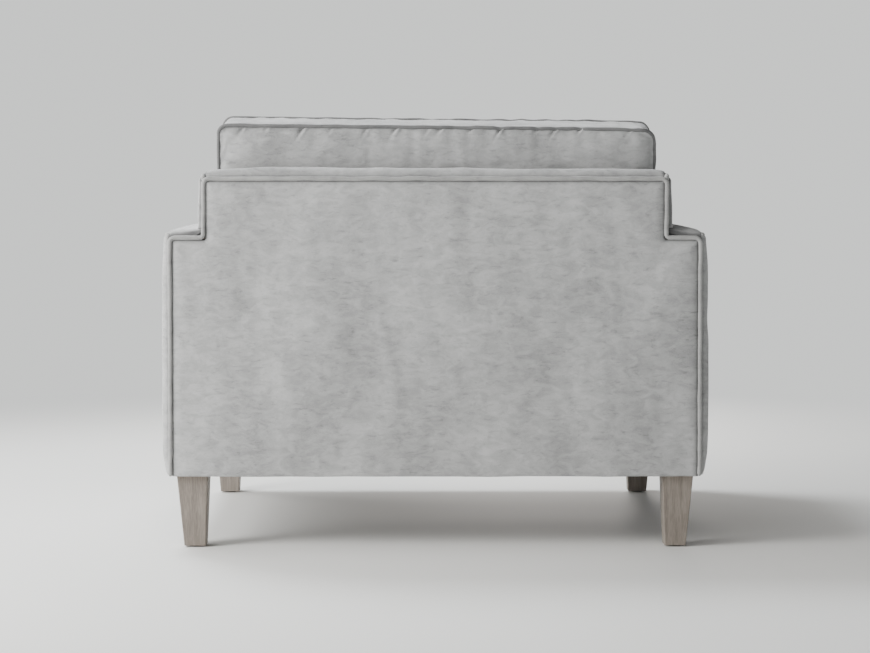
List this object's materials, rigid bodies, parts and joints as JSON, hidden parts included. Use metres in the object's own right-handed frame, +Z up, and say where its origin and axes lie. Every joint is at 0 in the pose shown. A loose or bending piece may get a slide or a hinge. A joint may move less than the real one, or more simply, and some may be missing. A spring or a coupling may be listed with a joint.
{
  "type": "upholstered armchair",
  "caption": "Wide upholstered armchair in grey piped velvet with slim arms, loose zipped seat and back cushions and square tapered wood legs.",
  "frame": {"origin": "on the floor under the middle of the chair's width and depth", "axes": "+Z up, the sitter faces -Y, +X to the sitter's left, the outside back is on +Y"},
  "size_m": [1.09, 0.88, 0.8696],
  "materials": {
    "upholstery_velvet": "soft matte pile, lightly crushed",
    "zip_tape": "woven tape with a nylon coil",
    "zip_metal": "grey lacquer",
    "foam": "open-cell foam, matte",
    "deck_cloth": "plain weave, matte",
    "dust_cloth": "non-woven, matte",
    "webbing": "elastic weave, matte",
    "spring_steel": "oiled wire",
    "zinc_steel": "zinc plated, satin",
    "glide_plastic": "matte",
    "hardboard": "smooth board",
    "leg_wood": "grey-brown weathered stain, satin",
    "frame_timber": "sawn, bare"
  },
  "bodies": {
    "chair": {"arm_boards": "hardboard", "arm_foam": "foam", "arm_front_facing_left": "upholstery_velvet", "arm_front_facing_right": "upholstery_velvet", "arm_front_posts": "frame_timber", "arm_front_welt_left": "upholstery_velvet", "arm_front_welt_right": "upholstery_velvet", "arm_outer_welts": "upholstery_velvet", "arm_rear_posts": "frame_timber", "arm_sills": "frame_timber", "arm_tack_rails": "frame_timber", "arm_top_rails": "frame_timber", "back_board": "hardboard", "back_bottom_rail": "frame_timber", "back_foam": "foam", "back_gusset_welts": "upholstery_velvet", "back_gussets": "upholstery_velvet", "back_posts": "frame_timber", "back_tack_rail": "frame_timber", "back_top_rail": "frame_timber", "back_webbing": "webbing", "back_welt": "upholstery_velvet", "corner_blocks": "frame_timber", "deck_cover": "deck_cloth", "deck_pad": "foam", "dust_cover": "dust_cloth", "frame_bolts": "zinc_steel", "front_border_cover": "upholstery_velvet", "front_border_foam": "foam", "front_seat_rail": "frame_timber", "glides": "glide_plastic", "hanger_bolts": "zinc_steel", "inside_arm_cover_left": "upholstery_velvet", "inside_arm_cover_right": "upholstery_velvet", "inside_back_cover": "upholstery_velvet", "leg_front_left": "leg_wood", "leg_front_right": "leg_wood", "leg_rear_left": "leg_wood", "leg_rear_right": "leg_wood", "outside_arm_cover_left": "upholstery_velvet", "outside_arm_cover_right": "upholstery_velvet", "outside_back_cover": "upholstery_velvet", "rear_seat_rail": "frame_timber", "seat_springs": "spring_steel", "seat_stretchers": "frame_timber", "side_seat_rails": "frame_timber", "spring_clips": "spring_steel", "t_nuts": "zinc_steel"},
    "seat_cushion": {"seat_cushion_cover": "upholstery_velvet", "seat_cushion_core": "foam", "seat_cushion_welts": "upholstery_velvet", "seat_cushion_zip_tape": "zip_tape"},
    "seat_zip_slider": {"seat_cushion_zip_slider": "zip_metal"},
    "back_cushion": {"back_cushion_cover": "upholstery_velvet", "back_cushion_core": "foam", "back_cushion_welts": "upholstery_velvet", "back_cushion_zip_tape": "zip_tape"},
    "back_zip_slider": {"back_cushion_zip_slider": "zip_metal"}
  },
  "joints": [
    {"name": "seat_cushion_lift", "type": "slide", "parent": "chair", "child": "seat_cushion", "axis": [0, 0, 1], "range_m": [0, 0.34]},
    {"name": "back_cushion_lift", "type": "slide", "parent": "seat_cushion", "child": "back_cushion", "axis": [0, 0, 1], "range_m": [0, 0.35]},
    {"name": "seat_zip", "type": "slide", "parent": "seat_cushion", "child": "seat_zip_slider", "axis": [1, 0, 0], "range_m": [0, 0.78]},
    {"name": "back_zip", "type": "slide", "parent": "back_cushion", "child": "back_zip_slider", "axis": [1, 0, 0], "range_m": [0, 0.69]}
  ]
}
